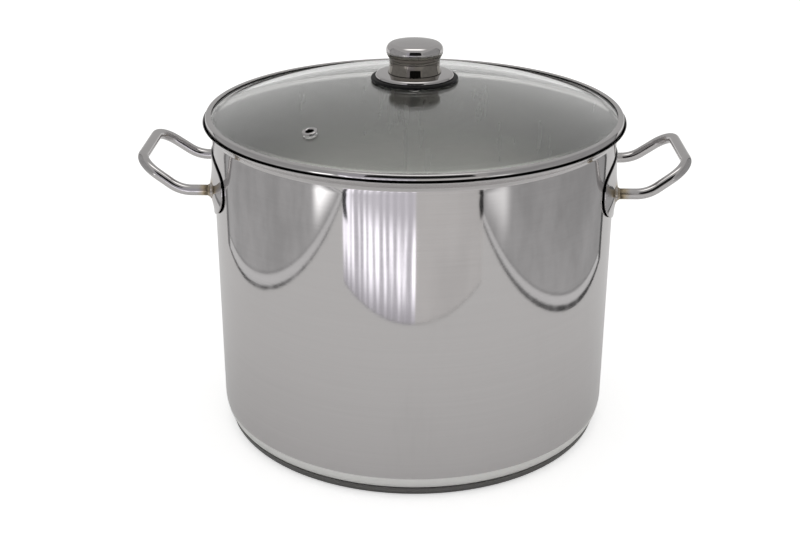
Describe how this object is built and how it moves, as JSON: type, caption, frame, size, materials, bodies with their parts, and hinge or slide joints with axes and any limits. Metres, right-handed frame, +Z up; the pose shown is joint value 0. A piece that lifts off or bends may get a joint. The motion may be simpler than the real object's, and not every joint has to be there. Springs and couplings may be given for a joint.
{
  "type": "stock pot",
  "caption": "Tall cylindrical steel pot with a thick encapsulated base, rod loop handles on welded plates, and a steel-banded domed glass lid with a steam vent and a knob.",
  "frame": {"origin": "centre of the flat underside of the base, on the pot's axis, lid resting in the rim", "axes": "+X along the line through both handles towards the right one, +Z up along the pot's axis, +Y towards the back"},
  "size_m": [0.4078, 0.3138, 0.2971],
  "materials": {
    "pot_steel": "polished, finely brushed",
    "base_steel": "satin",
    "base_aluminium": "plain",
    "plate_steel": "polished, heat-tinted beside the welds",
    "rod_steel": "mirror polished",
    "weld_steel": "heat-tinted",
    "clear_glass": "clear, tempered",
    "band_steel": "mirror polished",
    "eyelet_steel": "polished",
    "knob_steel": "mirror polished",
    "flange_steel": "mirror polished",
    "black_rubber": "matte silicone",
    "fastener_steel": "plain"
  },
  "bodies": {
    "pot": {"pot_body": "pot_steel", "base_cap": "base_steel", "base_core": "base_aluminium", "handle_plate_left": "plate_steel", "handle_plate_right": "plate_steel", "handle_rod_left": "rod_steel", "handle_rod_right": "rod_steel", "weld_bead_left_front": "weld_steel", "weld_bead_left_back": "weld_steel", "weld_bead_right_front": "weld_steel", "weld_bead_right_back": "weld_steel"},
    "lid": {"lid_glass": "clear_glass", "lid_band": "band_steel", "vent_eyelet": "eyelet_steel", "knob_shell": "knob_steel", "knob_flange": "flange_steel", "knob_gasket": "black_rubber", "knob_insert": "fastener_steel", "underside_gasket": "black_rubber", "underside_washer": "fastener_steel", "lock_washer": "fastener_steel", "knob_screw": "fastener_steel"}
  },
  "joints": [
    {"name": "lid_lift", "type": "slide", "parent": "pot", "child": "lid", "axis": [0, 0, 1], "range_m": [0, 0.25]}
  ]
}
